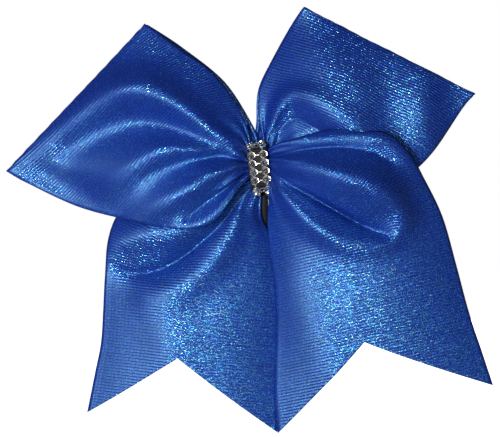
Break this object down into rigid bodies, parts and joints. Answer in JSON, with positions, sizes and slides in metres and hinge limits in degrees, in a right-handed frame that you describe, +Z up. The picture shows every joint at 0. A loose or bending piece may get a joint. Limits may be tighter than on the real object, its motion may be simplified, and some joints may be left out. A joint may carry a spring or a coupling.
{
  "type": "cheer hair bow",
  "caption": "Large hair bow folded from wide glitter grosgrain ribbon, two loops over two notched tails, with a rhinestone centre band and an elastic loop for a ponytail.",
  "frame": {"origin": "centre of the round eye of the elastic, where the ponytail goes through, halfway through the cord", "axes": "+Z up as the bow is worn, the front of the bow faces -Y, +X to the viewer's right; +Y points back along the ponytail"},
  "size_m": [0.1699, 0.0301, 0.149],
  "materials": {
    "ribbon_blue": "ribbed royal blue grosgrain with fine blue-green glitter",
    "wrap_black": "matt black grosgrain",
    "thread_blue": "waxed thread",
    "elastic_black": "braided cover over rubber",
    "glue_clear": "milky hot glue",
    "sleeve_metal": "pressed sleeve",
    "setting_silver": "silver plated claw cups",
    "crystal_clear": "clear cut glass with a foiled back"
  },
  "bodies": {
    "knot": {"ribbon_core": "ribbon_blue", "cinch_thread": "thread_blue", "centre_wrap": "wrap_black", "elastic_anchor": "elastic_black", "rear_glue": "glue_clear", "left_tail_upper": "ribbon_blue", "right_tail_upper": "ribbon_blue", "setting_row_01": "setting_silver", "crystal_row_01": "crystal_clear", "setting_row_02": "setting_silver", "crystal_row_02": "crystal_clear", "setting_row_03": "setting_silver", "crystal_row_03": "crystal_clear", "setting_row_04": "setting_silver", "crystal_row_04": "crystal_clear", "setting_row_05": "setting_silver", "crystal_row_05": "crystal_clear", "setting_row_06": "setting_silver", "crystal_row_06": "crystal_clear", "setting_row_07": "setting_silver", "crystal_row_07": "crystal_clear", "setting_row_08": "setting_silver", "crystal_row_08": "crystal_clear", "setting_row_09": "setting_silver", "crystal_row_09": "crystal_clear", "setting_row_10": "setting_silver", "crystal_row_10": "crystal_clear", "setting_row_11": "setting_silver", "crystal_row_11": "crystal_clear", "setting_row_12": "setting_silver", "crystal_row_12": "crystal_clear", "setting_row_13": "setting_silver", "crystal_row_13": "crystal_clear", "setting_row_14": "setting_silver", "crystal_row_14": "crystal_clear"},
    "left_loop": {"left_loop_front": "ribbon_blue", "left_loop_back": "ribbon_blue"},
    "right_loop": {"right_loop_front": "ribbon_blue", "right_loop_back": "ribbon_blue"},
    "left_tail": {"left_tail": "ribbon_blue"},
    "right_tail": {"right_tail": "ribbon_blue"},
    "hair_elastic": {"hair_elastic": "elastic_black", "elastic_sleeve": "sleeve_metal"}
  },
  "joints": [
    {"name": "left_loop_flex", "type": "hinge", "parent": "knot", "child": "left_loop", "pos_m": [-0.0062, -0.0069, 0.05004], "axis": [0, 0, 1], "range_deg": [0, 20], "stiffness_Nm_per_rad": 0.02},
    {"name": "right_loop_flex", "type": "hinge", "parent": "knot", "child": "right_loop", "pos_m": [0.0062, -0.0045, 0.05004], "axis": [0, 0, 1], "range_deg": [0, 20], "stiffness_Nm_per_rad": 0.02},
    {"name": "left_tail_flex", "type": "hinge", "parent": "knot", "child": "left_tail", "pos_m": [-0.024, -0.0143, 0.01444], "axis": [-1, 0, 0], "range_deg": [0, 30], "stiffness_Nm_per_rad": 0.01},
    {"name": "right_tail_flex", "type": "hinge", "parent": "knot", "child": "right_tail", "pos_m": [0.037, -0.0155, 0.01444], "axis": [-1, 0, 0], "range_deg": [0, 30], "stiffness_Nm_per_rad": 0.01},
    {"name": "elastic_swing", "type": "hinge", "parent": "knot", "child": "hair_elastic", "pos_m": [0, 0, 0.03824], "axis": [1, 0, 0], "range_deg": [0, 90]}
  ]
}
